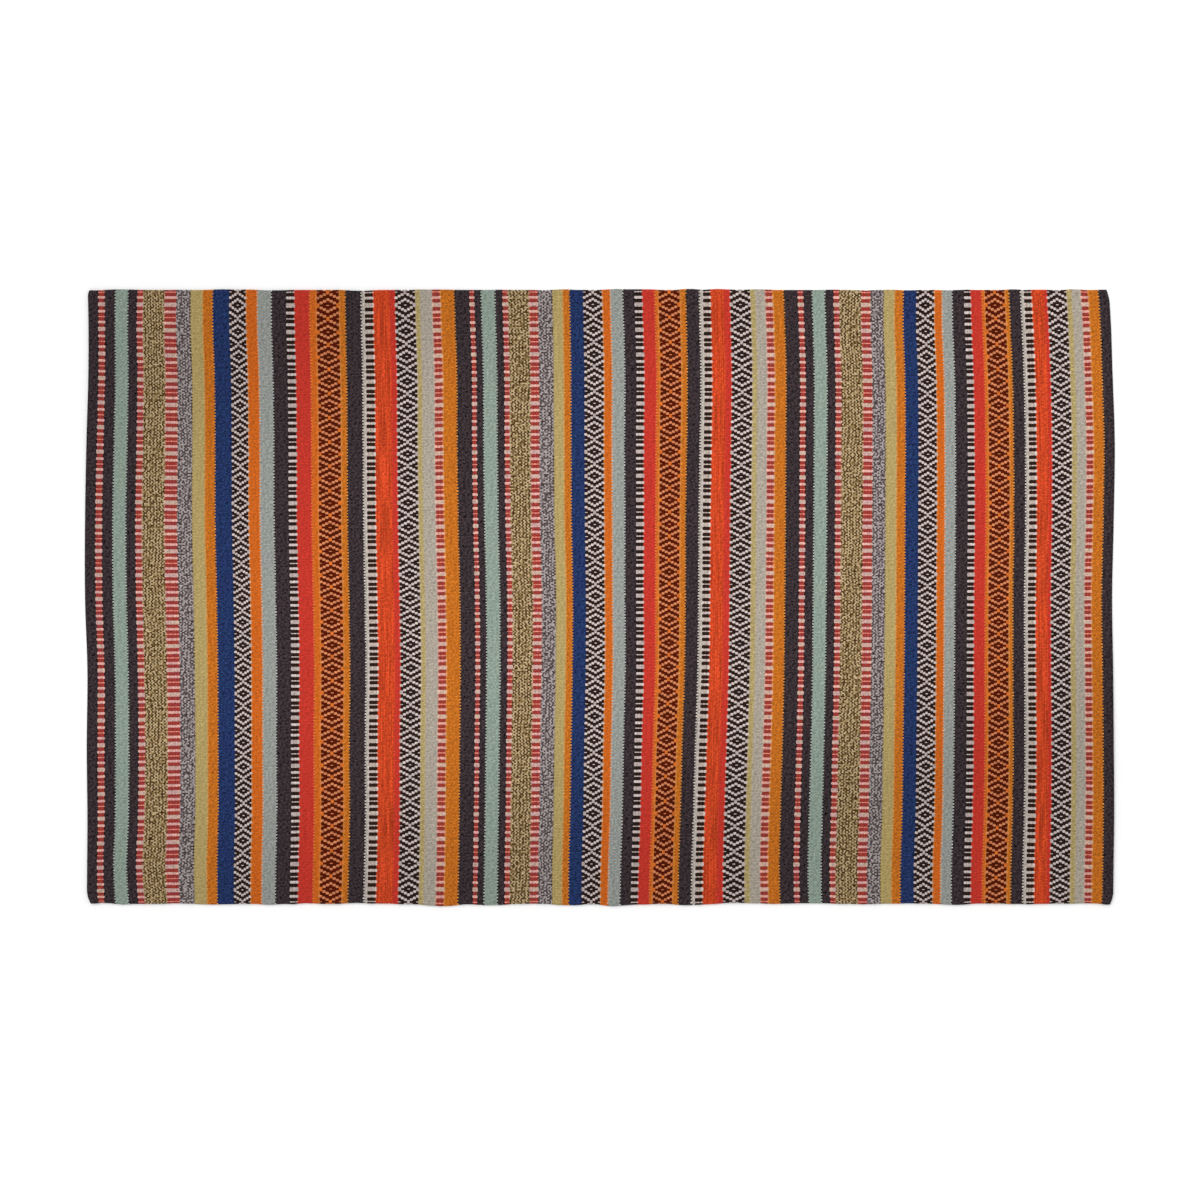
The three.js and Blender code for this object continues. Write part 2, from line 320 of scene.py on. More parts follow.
def topRelief(bands, columns, warp, x, y):
    # Height of the face over the plain cloth: rise of the weave, minus the grooves, plus the floats of the
    # light yarn and the cloth's ripple, sin(x / alongX + bend sin(y / bendAlongY)) sin(y / alongY + x / skew)
    weaves = np.array([band["weave"] for band in bands])[columns["band"]]
    drawn = np.isin(weaves, ("dash", "diamond"))
    number = np.floor(columns["middle"] * cloth["diamondColumns"])
    column = np.where(weaves == "diamond", np.abs(number - edgeColumn), edgeColumn)
    light = isLight(column[:, None], warp) * drawn[:, None]
    light = np.concatenate([light[:1], light, light[-1:]]).astype(float)
    lightShare = (light[:-1] + light[1:]) / 2
    between = np.zeros(len(columns["x"]))
    between[1:-1] = columns["band"][:-1] != columns["band"][1:]
    waves = cloth["rippleWaves"]
    bend = waves["bend"] * np.sin(y / waves["bendAlongY"])
    ripple = np.sin(x / waves["alongX"] + bend) * np.sin(y / waves["alongY"] + x / waves["skew"])
    return (
        bandValues(bands, columns, "rise")[:, None]
        - cloth["groove"] * between[:, None]
        + cloth["floatRise"] * lightShare
        + cloth["ripple"] * ripple
    )


def roundOff(distance):
    # The rim's quarter circle: 0 at the edge, rising to 1 at edgeRound from it
    short = np.clip(1 - distance / cloth["edgeRound"], 0, 1)
    return np.sqrt(1 - short**2)


def arcShare(along, height):
    # Distance run along a profile, as a share of the whole
    run = np.concatenate([[0], np.cumsum(np.hypot(np.diff(along), np.diff(height)))])
    return run / run[-1]


def weaveFaces(topIndex, lowIndex, lowRows):
    # Corner lists: the face in quads, the underside in longer quads on lowRows, and at both ends of the
    # underside polygons that take in every point of the end. Returns the vertex, the column and the row of
    # each corner, and how many corners each face has.
    lastC, lastR = topIndex.shape[0] - 1, topIndex.shape[1] - 1
    c, r = (grid.ravel() for grid in np.meshgrid(np.arange(lastC), np.arange(lastR), indexing="ij"))
    topC = np.stack([c, c + 1, c + 1, c], 1).ravel()
    topR = np.stack([r, r, r + 1, r + 1], 1).ravel()
    c, k = (
        grid.ravel()
        for grid in np.meshgrid(np.arange(1, lastC - 1), np.arange(len(lowRows) - 1), indexing="ij")
    )
    lowC = np.stack([c, c, c + 1, c + 1], 1).ravel()
    lowR = np.stack([lowRows[k], lowRows[k + 1], lowRows[k + 1], lowRows[k]], 1).ravel()
    endC, endR, endCounts = [], [], []
    for first, last in zip(lowRows, lowRows[1:]):
        steps = np.arange(first, last + 1)
        endC += [0] * len(steps) + [1, 1] + [lastC - 1, lastC - 1] + [lastC] * len(steps)
        endR += [*steps, last, first, first, last, *steps[::-1]]
        endCounts += [len(steps) + 2] * 2
    columns = np.concatenate([topC, lowC, endC])
    rows = np.concatenate([topR, lowR, endR])
    split = len(topC)
    vertices = np.concatenate([topIndex[topC, topR], lowIndex[columns[split:], rows[split:]]])
    counts = np.concatenate([np.full((len(topC) + len(lowC)) // 4, 4), endCounts])
    return vertices, columns, rows, counts


def weaveRug(bands):
    # A closed sheet on the grid of column lines by warps. Face: z = mid + (thickness + relief - mid) * rim,
    # underside: z = mid - mid * rim, where rim = roundOff(from the ends) * roundOff(from the selvedges).
    columns = layColumns(bands)
    warps, rimWarp = cloth["warps"], cloth["rimWarp"]
    warp = np.concatenate([[0, rimWarp], np.arange(warps) + 0.5, [warps - rimWarp, warps]])
    y = (warp / warps - 0.5) * cloth["width"]
    x = outline(columns, y) + edgeTeeth(bands, columns, warp)

    far, near = (bandValues(bands, columns, key)[:, None] for key in ("far", "near"))
    fromNear, fromFar = y + cloth["width"] / 2, cloth["width"] / 2 - y
    farFade, nearFade = (np.clip(1 - d / cloth["selvedgeReach"], 0, 1) ** 2 for d in (fromFar, fromNear))
    sway = shiftAt(warpLines, "sway", swayHeights, columns["x"], y)
    yGrid = y + sway + far * farFade - near * nearFade

    fromEnd = np.minimum(columns["x"], cloth["length"] - columns["x"])
    rim = roundOff(fromEnd)[:, None] * roundOff(np.minimum(fromNear, fromFar))
    mid = cloth["thickness"] / 2
    topZ = mid + (mid + topRelief(bands, columns, warp, x, y)) * rim
    lowZ = mid - mid * rim

    lastC, lastR = len(columns["x"]) - 1, len(warp) - 1
    inner = np.arange(2, lastR - 2)[:: cloth["undersideStep"]]
    lowRows = np.unique(np.concatenate([[0, 1, 2, lastR - 2, lastR - 1, lastR], inner]))
    topIndex = np.arange(x.size).reshape(x.shape)
    lowIndex = topIndex.copy()
    innerRows = lowRows[1:-1]
    lowIndex[1:-1, innerRows] = x.size + np.arange((lastC - 1) * len(innerRows)).reshape(lastC - 1, -1)
    points = np.stack([x, yGrid, topZ], -1).reshape(-1, 3)
    lowPoints = np.stack([x, yGrid, lowZ], -1)[1:-1, innerRows].reshape(-1, 3)
    points = np.concatenate([points, lowPoints])
    middle = (points.min(0) + points.max(0)) / 2
    points[:, :2] += (solidLow + solidHigh)[:2] / 2 / mm - middle[:2]

    vertices, cornerC, cornerR, counts = weaveFaces(topIndex, lowIndex, lowRows)
    firstOfFace = np.cumsum(counts) - counts
    cell = np.minimum.reduceat(cornerC, firstOfFace)
    cellOfCorner = np.repeat(cell, counts)
    onLow = cornerC == cellOfCorner
    u = np.where(onLow, columns["uLow"][cellOfCorner], columns["uHigh"][cellOfCorner])
    bakeU = arcShare(columns["x"], mid * roundOff(fromEnd))
    bakeV = arcShare(y, mid * roundOff(np.minimum(fromNear, fromFar)))

    mesh = bpy.data.meshes.new("wovenRug")
    mesh.vertices.add(len(points))
    mesh.vertices.foreach_set("co", (points * mm).astype(np.float32).ravel())
    mesh.loops.add(len(vertices))
    mesh.loops.foreach_set("vertex_index", vertices.astype(np.int32))
    mesh.polygons.add(len(counts))
    mesh.polygons.foreach_set("loop_start", firstOfFace.astype(np.int32))
    mesh.polygons.foreach_set("loop_total", counts.astype(np.int32))
    mesh.update(calc_edges=True)
    mesh.polygons.foreach_set("use_smooth", np.ones(len(counts), bool))
    maps = {
        "weave": (columns["firstPick"][cellOfCorner] + u, warp[cornerR]),  # picks and warps of the whole rug
        "stripe": (u, columns["picks"][cellOfCorner] - u),  # picks from the stripe's left and right sides
        "OFBake": (bakeU[cornerC], bakeV[cornerR]),  # for the export, even all over the face
    }
    for name, (across, along) in maps.items():
        layer = mesh.uv_layers.new(name=name)
        layer.data.foreach_set("uv", np.stack([across, along], 1).astype(np.float32).ravel())
    return mesh, columns["band"][cell]


# Shader helpers

def addNode(tree, kind, **settings):
    made = tree.nodes.new("ShaderNode" + kind)
    for name, value in settings.items():
        setattr(made, name, value)
    return made


def feed(tree, socket, value):
    if isinstance(value, bpy.types.NodeSocket):
        tree.links.new(value, socket)
    else:
        socket.default_value = value


def calc(tree, operation, *values):
    made = addNode(tree, "Math", operation=operation)
    for socket, value in zip(made.inputs, values):
        feed(tree, socket, value)
    return made.outputs[0]


def joinXY(tree, x, y):
    made = addNode(tree, "CombineXYZ")
    for socket, value in zip(made.inputs, (x, y)):
        feed(tree, socket, value)
    return made.outputs[0]


def rescale(tree, value, low, high, newLow, newHigh):
    # From newLow to newHigh while the value goes from low to high, with a soft start and end
    made = addNode(tree, "MapRange", interpolation_type="SMOOTHSTEP")
    for socket, given in zip(made.inputs, (value, low, high, newLow, newHigh)):
        feed(tree, socket, given)
    return made.outputs[0]


def noise(tree, vector, scale, detail=2.0, roughness=0.5):
    made = addNode(tree, "TexNoise")
    feed(tree, made.inputs["Vector"], vector)
    made.inputs["Scale"].default_value = scale
    made.inputs["Detail"].default_value = detail
    made.inputs["Roughness"].default_value = roughness
    return made.outputs["Fac"]


def mixColours(tree, share, first, second):
    made = addNode(tree, "Mix", data_type="RGBA")
    for socket, value in zip((made.inputs[0], made.inputs[6], made.inputs[7]), (share, first, second)):
        feed(tree, socket, value)
    return made.outputs[2]


def dim(tree, colour, factor):
    made = addNode(tree, "VectorMath", operation="SCALE")
    feed(tree, made.inputs[0], colour)
    feed(tree, made.inputs["Scale"], factor)
    return made.outputs[0]


def linear(red, green, blue):
    # The shader's colour from one written 0 to 255 as it looks on a screen
    value = np.array((red, green, blue)) / 255
    value = np.where(value <= 0.04045, value / 12.92, ((value + 0.055) / 1.055) ** 2.4)
    return (*(value / wool["lightLevel"]).tolist(), 1.0)


# Wool: what a user would change. The two tones of a pair drift into each other. Side is the tone painted on
# the last picks of a stripe: painted groove shade where it is darker than the yarn, and painted highlight
# where it is lighter. A mottled yarn has a pale ply, fleck, and a dark one, dot, and their shares, pale and
# dark. In the patterns a light float has its own tones where it is long or short, and at its tip.

wool = {
    "lightLevel": 1.2,  # how bright the studio light makes a white surface
    "roughness": 0.95,
    "sheen": 0.04,
    "sheenRoughness": 0.5,
    "specular": 0.05,
    "bump": 0.4 * mm,
    "fuzz": 1500,  # hairs for each metre
    "fuzzRoughness": 0.6,
    "fuzzHeight": 0.35,  # share of the bump
    "drift": 60,  # drifts of tone for each metre
    "driftRange": (0.38, 0.62),  # of the drift, from one tone to the other
    "streak": 0.045,  # how much the picks of one stripe differ
    "streakSteps": (0.8, 0.03),  # for each pick and for each warp
    "streakRange": (0.3, 0.7),
    "speck": 0.23,  # how much neighbouring floats differ
    "speckPart": 0.6,  # the most that each of its three parts adds
    # painted crevice shade: the colour is darkened between the floats, where the relief is low, up to the
    # relief below
    "paintedCreviceShade": 0.25,  # how much darker the weave is between its floats
    "paintedShadeUntil": 0.8,  # the relief from which on it isn't darker
    "warpDip": 0.8,  # how far a float falls off to the sides of its warp
    "floatDip": 0.5,  # how far it falls off to its ends
    # painted groove shade and highlight: the side tone on a stripe's last picks fades out over these picks,
    # covering at most this share
    "paintedSidePicks": (0.5, 1.3),  # from a stripe's side, where its side tone fades out
    "paintedSideShare": 0.6,
    "toothTaper": 0.35,
    "wander": 14,  # wanders of the mottled rows for each metre
    "wanderReach": 3.0,  # in rows
    "plyEdge": 0.06,  # half the softness between two plies of a mottled yarn
    "beadReach": {"dash": (0.95, 1.15), "diamond": (1.02, 1.26)},  # above 1 the light floats part, both ways
    "beadPower": 4.0,
    "beadEdge": (0.92, 1.08),
    "longWarps": 1.6,  # long floats: this near a diamond's middle at the sides, its tips in the middle column
    "shortWarps": 0.6,  # short floats: this near a diamond's tips at the sides
    "tipPicks": (1.6, 2.2),  # from the right side, where the tips' tone fades out
    "endPicks": 1.3,  # over which the floats of a pattern round off at its sides
    "endStart": 0.05,  # the first part of endPicks, which stays square
    "endEdge": (0.95, 1.15),
}
yarns = {
    # side: painted groove shade where darker than the tones, painted highlight where lighter
    "charcoal": dict(tones=((59, 48, 51), (56, 47, 50)), side=(32, 28, 30), speck=0.62),
    "mint": dict(tones=((146, 161, 148), (144, 160, 149)), side=(174, 184, 174)),
    "greyBlue": dict(tones=((153, 157, 151), (153, 156, 152)), side=(184, 184, 180)),
    "straw": dict(tones=((183, 161, 104), (181, 159, 103)), speck=0.18),
    "dullStraw": dict(tones=((181, 161, 109), (179, 160, 107))),
    "ochre": dict(tones=((201, 113, 33), (198, 110, 33)), side=(222, 146, 70), speck=0.27),
    "orange": dict(tones=((210, 103, 33), (208, 102, 31)), side=(220, 132, 60), speck=0.2),
    "navy": dict(tones=((35, 55, 98), (36, 52, 98)), side=(26, 32, 62), speck=0.48),
    "red": dict(tones=((201, 57, 44), (199, 56, 44)), speck=0.18),
    "vermilion": dict(tones=((209, 73, 36), (205, 70, 35)), streak=0.3, speck=0.26),
    "paleGrey": dict(tones=((178, 169, 160), (175, 165, 156)), side=(214, 206, 196)),
    "greige": dict(tones=((176, 166, 152), (174, 164, 151)), speck=0.2),
    "tan": dict(
        tones=((143, 117, 76), (135, 111, 72)),
        fleck=(186, 163, 125),
        dot=(74, 48, 14),
        spacing=3.6,  # picks between two rows of dots
        mixed=0.38,  # how far chance breaks the rows up
        dark=0.35,
        pale=0.36,
    ),
    "lavender": dict(
        tones=((128, 115, 117), (122, 111, 113)),
        fleck=(165, 155, 155),
        dot=(78, 66, 65),
        side=(80, 70, 54),
        spacing=3.3,
        mixed=0.55,
        dark=0.38,
        pale=0.36,
    ),
    "coral": dict(
        dark=((158, 57, 48), (151, 56, 54)),
        light=((224, 174, 160), (217, 163, 158)),
        long=((200, 170, 154), (200, 162, 156)),
        short=(232, 140, 124),
    ),
    "warmCoral": dict(
        dark=((156, 58, 46), (149, 56, 50)),
        light=((226, 166, 150), (218, 158, 147)),
        long=((208, 174, 154), (205, 167, 153)),
        short=(238, 146, 124),
    ),
    "blackWhite": dict(
        dark=((43, 27, 22), (39, 25, 21)),
        light=((209, 193, 189), (202, 187, 183)),
        long=((183, 168, 163), (185, 168, 164)),
        short=(200, 184, 180),
    ),
    "blackGrey": dict(
        dark=((46, 29, 22), (42, 27, 21)),
        light=((200, 183, 176), (194, 177, 170)),
        long=((186, 171, 160), (186, 170, 160)),
        short=(204, 186, 176),
        tip=(216, 197, 190),
    ),
    "blackOrange": dict(
        dark=((88, 20, 0), (80, 22, 0)),
        light=((212, 134, 90), (204, 124, 84)),
        long=((210, 108, 42), (210, 108, 46)),
        short=(190, 112, 72),
    ),
}


def weaveCoordinates(tree):
    # u in picks and v in warps, the picks from the left and from the right side of the stripe, and the place
    read = []
    for name in ("weave", "stripe"):
        split = addNode(tree, "SeparateXYZ")
        tree.links.new(addNode(tree, "UVMap", uv_map=name).outputs[0], split.inputs[0])
        read += [split.outputs[0], split.outputs[1]]
    return (*read, addNode(tree, "TexCoord").outputs["Object"])


def fromMiddle(tree, value):
    # 2 |frac(value) - 0.5|: 0 in the middle of each whole step and 1 at its ends
    fraction = calc(tree, "SUBTRACT", calc(tree, "FRACT", value), 0.5)
    return calc(tree, "MULTIPLY", calc(tree, "ABSOLUTE", fraction), 2.0)


def floats(tree, u, v):
    # In plain weave a pick floats over every second warp. On warp w = floor v, with odd = w mod 2 and
    # s = (u + odd) / 2, the float is that of pick 2 floor s - odd, and its middle is where frac s = 0.5.
    warp = calc(tree, "FLOOR", v)
    odd = calc(tree, "FLOORED_MODULO", warp, 2.0)
    s = calc(tree, "MULTIPLY", calc(tree, "ADD", u, odd), 0.5)
    pick = calc(tree, "SUBTRACT", calc(tree, "MULTIPLY", calc(tree, "FLOOR", s), 2.0), odd)
    return pick, warp, fromMiddle(tree, s)


def chance(tree, first, second):
    # An even random number from 0 to 1 for each pair of whole numbers
    made = addNode(tree, "TexWhiteNoise", noise_dimensions="2D")
    feed(tree, made.inputs["Vector"], joinXY(tree, first, second))
    return made.outputs["Value"]


def balanced(tree, pick, warp):
    # A number for each float that is 0 on average over every block of two by two floats. With n the float's
    # number along its warp: (-1)^n c1 + (-1)^warp c2 + (-1)^(n + warp) c3, each c even from -speckPart to
    # speckPart and the same all over the block.
    n = calc(tree, "FLOOR", calc(tree, "MULTIPLY_ADD", pick, 0.5, 0.75))
    block, signs = [], []
    for value in (n, warp):
        block.append(calc(tree, "FLOOR", calc(tree, "MULTIPLY", value, 0.5)))
        signs.append(calc(tree, "MULTIPLY_ADD", calc(tree, "FLOORED_MODULO", value, 2.0), -2.0, 1.0))
    signs.append(calc(tree, "MULTIPLY", *signs))
    total, most, apart = 0.0, wool["speckPart"], 1000.0  # apart keeps the three draws from meeting
    for number, sign in enumerate(signs):
        shifted = calc(tree, "ADD", block[0], apart * number)
        size = calc(tree, "MULTIPLY_ADD", chance(tree, shifted, block[1]), 2 * most, -most)
        total = calc(tree, "MULTIPLY_ADD", sign, size, total)
    return total


def plainRelief(tree, v, alongFloat):
    # (1 - warpDip r^3)(1 - floatDip s^2), r going from 0 in the warp's middle to 1 at its sides and s from 0
    # in the float's middle to 1 at its ends
    r = calc(tree, "POWER", fromMiddle(tree, v), 3.0)
    s = calc(tree, "MULTIPLY", alongFloat, alongFloat)
    across = calc(tree, "MULTIPLY_ADD", r, -wool["warpDip"], 1.0)
    along = calc(tree, "MULTIPLY_ADD", s, -wool["floatDip"], 1.0)
    return calc(tree, "MULTIPLY", across, along)


def driftingTone(tree, place, tones):
    # From the first tone to the second, where a noise as fine as drift runs through driftRange
    share = rescale(tree, noise(tree, place, wool["drift"]), *wool["driftRange"], 0, 1)
    return mixColours(tree, share, linear(*tones[0]), linear(*tones[1]))


def melangeColour(tree, place, pick, warp, yarn):
    # t = |2 frac(pick / spacing + wander) - 1| + mixed balanced(pick, warp): the float shows the dark ply
    # where t is below dark, and the pale one where it is above 1 - pale
    wander = calc(tree, "MULTIPLY", noise(tree, place, wool["wander"]), wool["wanderReach"])
    turn = calc(tree, "MULTIPLY_ADD", pick, 1 / yarn["spacing"], wander)
    t = calc(tree, "MULTIPLY_ADD", balanced(tree, pick, warp), yarn["mixed"], fromMiddle(tree, turn))
    dark, pale, edge = yarn["dark"], 1 - yarn["pale"], wool["plyEdge"]
    isPale = rescale(tree, t, pale - edge, pale + edge, 0, 1)
    isDark = rescale(tree, t, dark - edge, dark + edge, 1, 0)
    colour = mixColours(tree, isPale, driftingTone(tree, place, yarn["tones"]), linear(*yarn["fleck"]))
    return mixColours(tree, isDark, colour, linear(*yarn["dot"]))


def chart(tree, left, v, weave):
    # The rule in isLight: q runs 0 to 2 over a light float and 2 to 4 over a dark one. A light float is the
    # bead (reach a)^4 + (reach b)^4 < 1, with a and b 0 in its middle and 1 at its sides and ends, and 4
    # being beadPower. Returns the bead's share, a, b, and where the floats are three warps long and one.
    half = cloth["warpsPerDiamond"] / 2
    away = calc(tree, "PINGPONG", calc(tree, "SUBTRACT", v, cloth["firstDiamond"]), half)
    along = calc(tree, "DIVIDE", left, cloth["picksPerColumn"])
    atEdge, inMiddle, column = 1.0, 0.0, edgeColumn
    if weave == "diamond":
        number = calc(tree, "FLOOR", along)
        column = calc(tree, "ABSOLUTE", calc(tree, "SUBTRACT", number, edgeColumn))
        atEdge = calc(tree, "GREATER_THAN", column, edgeColumn - 0.5)
        inMiddle = calc(tree, "LESS_THAN", column, 0.5)
    q = calc(tree, "FLOORED_MODULO", calc(tree, "ADD", calc(tree, "ADD", away, column), -2.5), 4.0)
    a = fromMiddle(tree, along)
    bLight = calc(tree, "ABSOLUTE", calc(tree, "SUBTRACT", q, 1.0))
    reachA, reachB = wool["beadReach"][weave]
    shape = calc(
        tree,
        "ADD",
        calc(tree, "POWER", calc(tree, "MULTIPLY", a, reachA), wool["beadPower"]),
        calc(tree, "POWER", calc(tree, "MULTIPLY", bLight, reachB), wool["beadPower"]),
    )
    light = rescale(tree, shape, *wool["beadEdge"], 1, 0)
    b = calc(tree, "ABSOLUTE", calc(tree, "SUBTRACT", calc(tree, "FLOORED_MODULO", q, 2.0), 1.0))
    long = calc(
        tree,
        "ADD",
        calc(tree, "MULTIPLY", calc(tree, "LESS_THAN", away, wool["longWarps"]), atEdge),
        calc(tree, "MULTIPLY", calc(tree, "GREATER_THAN", away, half - wool["longWarps"]), inMiddle),
    )
    short = calc(tree, "MULTIPLY", calc(tree, "GREATER_THAN", away, half - wool["shortWarps"]), atEdge)
    return light, a, b, long, short


def chartColour(tree, place, yarn, light, long, short, right):
    # Light floats take their own tone where they are long or short, and at their tips on the right
    pale = driftingTone(tree, place, yarn["light"])
    pale = mixColours(tree, long, pale, driftingTone(tree, place, yarn["long"]))
    pale = mixColours(tree, short, pale, linear(*yarn["short"]))
    if "tip" in yarn:
        pale = mixColours(tree, rescale(tree, right, *wool["tipPicks"], 1, 0), pale, linear(*yarn["tip"]))
    return mixColours(tree, light, driftingTone(tree, place, yarn["dark"]), pale)


def roundedEnds(tree, colour, b, left, right):
    # At the sides of a pattern its floats end in half rounds: beyond t^2 + b^2 = 1, t rising to 1 over the
    # last endPicks, the neighbour's side tone shows, with its painted groove shade where darker than that yarn
    # and painted highlight where lighter
    for name, distance in (("leftYarnSideLight", left), ("rightYarnSideLight", right)):
        t = calc(tree, "SUBTRACT", 1.0, calc(tree, "DIVIDE", distance, wool["endPicks"]))
        t = calc(tree, "MAXIMUM", t, 0.0)
        reach = calc(tree, "ADD", calc(tree, "MULTIPLY", t, t), calc(tree, "MULTIPLY", b, b))
        started = calc(tree, "GREATER_THAN", t, wool["endStart"])
        beyond = calc(tree, "MULTIPLY", rescale(tree, reach, *wool["endEdge"], 0, 1), started)
        neighbour = addNode(tree, "Attribute", attribute_name=name)
        colour = mixColours(tree, beyond, colour, neighbour.outputs["Color"])
    return colour


def paintedSideLight(yarn):
    # The tone painted on the last picks of its stripe: its side tone, painted groove shade where darker than
    # the yarn and painted highlight where lighter, else the yarn's first tone
    return yarn.get("side") or yarn.get("tones", yarn.get("dark"))[0]


def withTeeth(tree, colour, yarn, v, left, right):
    # The stripe's own last pick takes its side tone: painted groove shade where that is darker than the yarn,
    # painted highlight where lighter. The neighbour's side floats, in their own painted side tone, lie over it
    # on every second warp, as far as toothPicks (1 - toothTaper r^3), r being 0 in the middle of the warp and
    # 1 at its sides.
    own = rescale(tree, calc(tree, "MINIMUM", left, right), *wool["paintedSidePicks"], wool["paintedSideShare"], 0)
    colour = mixColours(tree, own, colour, linear(*paintedSideLight(yarn)))
    odd = calc(tree, "FLOORED_MODULO", calc(tree, "FLOOR", v), 2.0)
    even = calc(tree, "SUBTRACT", 1.0, odd)
    r = calc(tree, "POWER", fromMiddle(tree, v), 3.0)
    longest = cloth["toothPicks"]
    reach = calc(tree, "MULTIPLY_ADD", r, -wool["toothTaper"] * longest, longest)
    for name, distance, turn in (("leftYarnSideLight", left, even), ("rightYarnSideLight", right, odd)):
        neighbour = addNode(tree, "Attribute", attribute_name=name)
        over = calc(tree, "MULTIPLY", calc(tree, "LESS_THAN", distance, reach), turn)
        over = calc(tree, "MULTIPLY", over, neighbour.outputs["Alpha"])
        colour = mixColours(tree, over, colour, neighbour.outputs["Color"])
    return colour


def woolMaterial(yarnName, weave):
    # The weave's colour times (streaks of the picks) (specks of the floats) (painted shade, darker in the
    # crevices where the relief is low), and a bump of the relief plus a fine fuzz
    yarn = yarns[yarnName]
    material = bpy.data.materials.new(f"{yarnName}-{weave}")
    material.use_nodes = True
    tree = material.node_tree
    shader = tree.nodes["Principled BSDF"]
    u, v, left, right, place = weaveCoordinates(tree)
    pick, warp, alongFloat = floats(tree, u, v)
    if weave in ("dash", "diamond"):
        light, a, b, long, short = chart(tree, left, v, weave)
        colour = roundedEnds(tree, chartColour(tree, place, yarn, light, long, short, right), b, left, right)
        spread = calc(tree, "ADD", calc(tree, "MULTIPLY", a, a), calc(tree, "MULTIPLY", b, b))
        relief = calc(tree, "MULTIPLY_ADD", spread, -wool["floatDip"], 1.0)
    elif weave == "melange":
        colour = melangeColour(tree, place, pick, warp, yarn)
        relief = plainRelief(tree, v, alongFloat)
    else:
        colour = withTeeth(tree, driftingTone(tree, place, yarn["tones"]), yarn, v, left, right)
        relief = plainRelief(tree, v, alongFloat)
    speck, streak = yarn.get("speck", wool["speck"]), yarn.get("streak", wool["streak"])
    specks = calc(tree, "MULTIPLY_ADD", balanced(tree, pick, warp), speck, 1.0)
    alongStrand = [calc(tree, "MULTIPLY", at, steps) for at, steps in zip((u, v), wool["streakSteps"])]
    strands = noise(tree, joinXY(tree, *alongStrand), 1, detail=1)
    streaks = rescale(tree, strands, *wool["streakRange"], 1 - streak, 1 + streak)
    # painted shade: the colour is darker in the crevices, where the relief is low
    paintedHollowShade = rescale(tree, relief, 0, wool["paintedShadeUntil"], 1 - wool["paintedCreviceShade"], 1)
    shade = calc(tree, "MULTIPLY", calc(tree, "MULTIPLY", streaks, specks), paintedHollowShade)
    tree.links.new(dim(tree, colour, shade), shader.inputs["Base Color"])
    shader.inputs["Roughness"].default_value = wool["roughness"]
    shader.inputs["Sheen Weight"].default_value = wool["sheen"]
    shader.inputs["Sheen Roughness"].default_value = wool["sheenRoughness"]
    shader.inputs["Specular IOR Level"].default_value = wool["specular"]
    bump = addNode(tree, "Bump")
    bump.inputs["Distance"].default_value = wool["bump"]
    hairs = noise(tree, place, wool["fuzz"], roughness=wool["fuzzRoughness"])
    fuzz = calc(tree, "MULTIPLY", hairs, wool["fuzzHeight"])
    tree.links.new(calc(tree, "ADD", relief, fuzz), bump.inputs["Height"])
    tree.links.new(bump.outputs[0], shader.inputs["Normal"])
    return material


def neighbourTones(bands, step):
    # For each band the side tone of the one at that step, with its painted groove shade where darker than the
    # yarn and painted highlight where lighter, and alpha 1 where both are plain or a melange
    toothed = [band["weave"] in ("plain", "hem", "melange") for band in bands]
    tones = np.zeros((len(bands), 4))
    for number in range(max(0, -step), len(bands) - max(0, step)):
        tones[number] = linear(*paintedSideLight(yarns[bands[number + step]["yarn"]]))
        tones[number, 3] = toothed[number] and toothed[number + step]
    return tones


def dressRug(mesh, bands, bandOfFace):
    # One material for each kind of yarn and weave, given to the faces of its bands
    # each face holds its neighbours' side tones, with their painted groove shade and painted highlight
    for name, step in (("leftYarnSideLight", -1), ("rightYarnSideLight", 1)):
        layer = mesh.attributes.new(name, "FLOAT_COLOR", "FACE")
        layer.data.foreach_set("color", neighbourTones(bands, step)[bandOfFace].astype(np.float32).ravel())
    kinds = [(band["yarn"], "plain" if band["weave"] == "hem" else band["weave"]) for band in bands]
    order = sorted(set(kinds))
    for kind in order:
        mesh.materials.append(woolMaterial(*kind))
    ofBand = np.array([order.index(kind) for kind in kinds])
    mesh.polygons.foreach_set("material_index", ofBand[bandOfFace].astype(np.int32))
    mesh.update()


bands = layBands()
rugMesh, bandOfFace = weaveRug(bands)
print("rug woven:", len(bands), "bands,", sum(len(p.vertices) - 2 for p in rugMesh.polygons), "triangles")
dressRug(rugMesh, bands, bandOfFace)
rug = bpy.data.objects.new("wovenRug", rugMesh)
bpy.context.scene.collection.objects.link(rug)
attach(rug, "root")
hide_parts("rug")
print("rug dressed with", len(rugMesh.materials), "wools")


# Floor and light

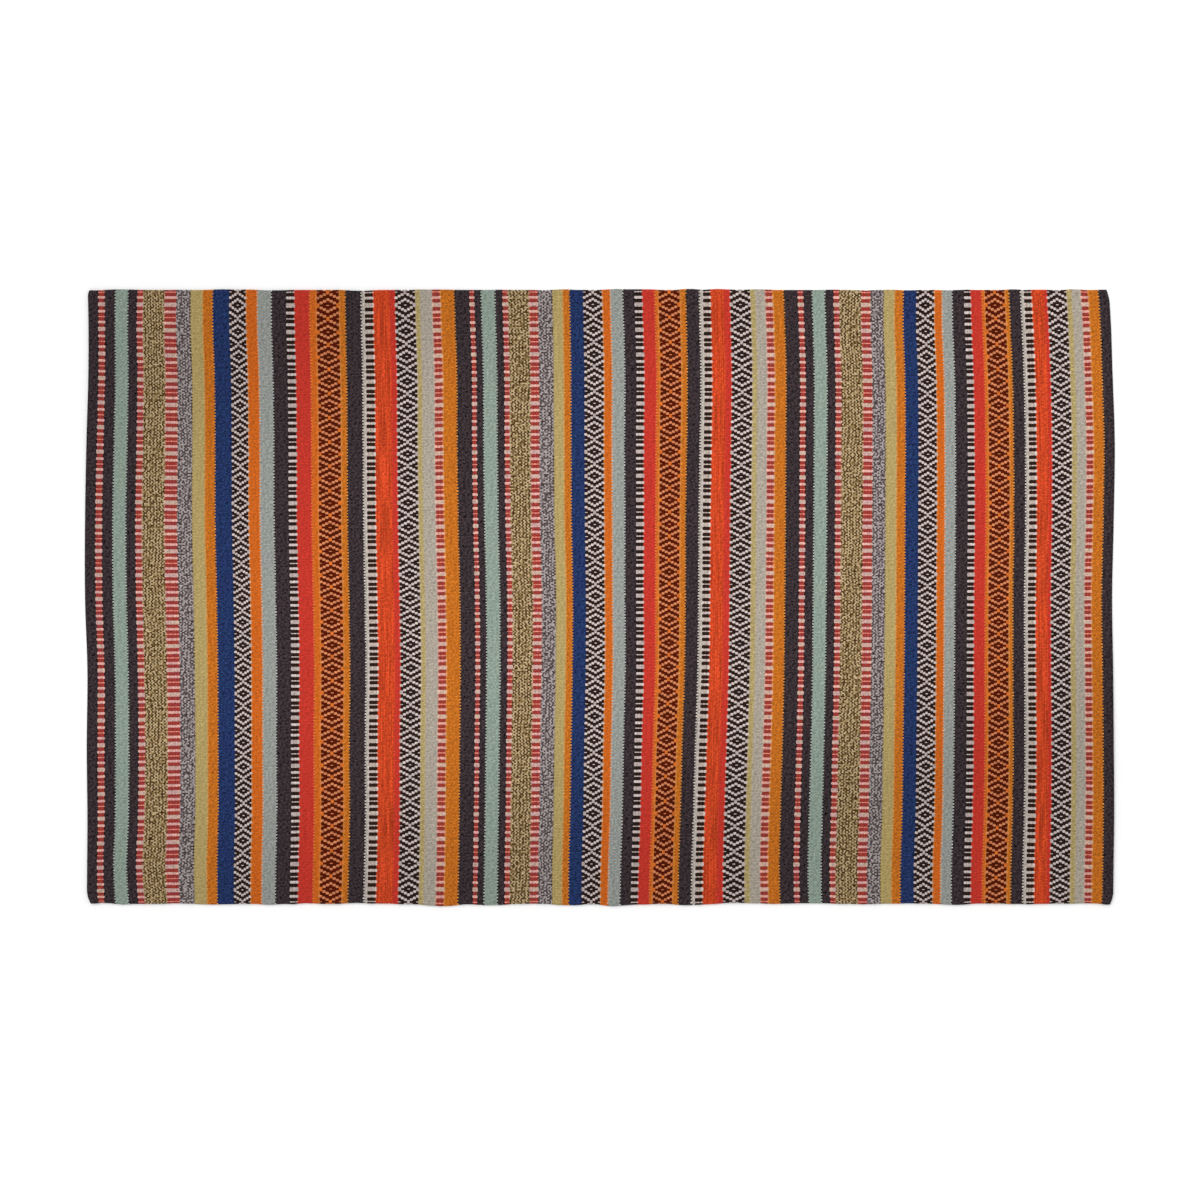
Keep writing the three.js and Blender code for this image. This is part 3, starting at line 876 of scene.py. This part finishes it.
studio = {
    "floorSize": 30,  # metres
    "floorGap": 0.3 * mm,  # below the underside
    "floorColour": (0.98, 0.98, 0.98),
    "floorRoughness": 0.9,
    "floorSpecular": 0.1,
    "skyStrength": 0.78,
    "lampStrength": 1.05,
    "lampDirection": (-0.55, 0.6, 1.0),  # from the rug to the lamp
    "lampAngle": math.radians(40),  # as wide as a large soft box
    "spotPlace": (0.184, 0.129, 6),
    "spotPower": 420,
    "spotTurn": math.radians(14),  # of its pool of light, which is spotStretch times as long as wide
    "spotStretch": 2.8,
    "spotAngle": math.radians(9.5),
}


def addLight(name, kind, strength):
    data = bpy.data.lights.new(name, kind)
    data.energy = strength
    made = bpy.data.objects.new(name, data)
    bpy.context.scene.collection.objects.link(made)
    return made


def makeStudio(settings):
    # A white floor, an even white sky, a soft lamp from the upper left, and a spot with wholly faded edges
    # that makes the rug lighter along one diagonal
    half = settings["floorSize"] / 2
    mesh = bpy.data.meshes.new("floor")
    square = [(-half, -half), (half, -half), (half, half), (-half, half)]
    mesh.from_pydata([(x, y, -settings["floorGap"]) for x, y in square], [], [(0, 1, 2, 3)])
    material = bpy.data.materials.new("floor")
    material.use_nodes = True
    shader = material.node_tree.nodes["Principled BSDF"]
    shader.inputs["Base Color"].default_value = (*settings["floorColour"], 1)
    shader.inputs["Roughness"].default_value = settings["floorRoughness"]
    shader.inputs["Specular IOR Level"].default_value = settings["floorSpecular"]
    mesh.materials.append(material)
    floor = bpy.data.objects.new("floor", mesh)
    bpy.context.scene.collection.objects.link(floor)

    world = bpy.data.worlds.new("sky")
    world.use_nodes = True
    world.node_tree.nodes["Background"].inputs["Color"].default_value = (1, 1, 1, 1)
    world.node_tree.nodes["Background"].inputs["Strength"].default_value = settings["skyStrength"]
    bpy.context.scene.world = world

    lamp = addLight("lamp", "SUN", settings["lampStrength"])
    lamp.data.angle = settings["lampAngle"]
    lamp.rotation_euler = Vector(settings["lampDirection"]).to_track_quat("Z", "Y").to_euler()
    spot = addLight("spot", "SPOT", settings["spotPower"])
    spot.data.spot_size = settings["spotAngle"]
    spot.data.spot_blend = 1
    spot.location = settings["spotPlace"]
    spot.rotation_euler[2] = settings["spotTurn"]
    spot.scale[0] = settings["spotStretch"]
    bpy.context.scene.view_settings.view_transform = "Standard"


makeStudio(studio)
print("studio lit")
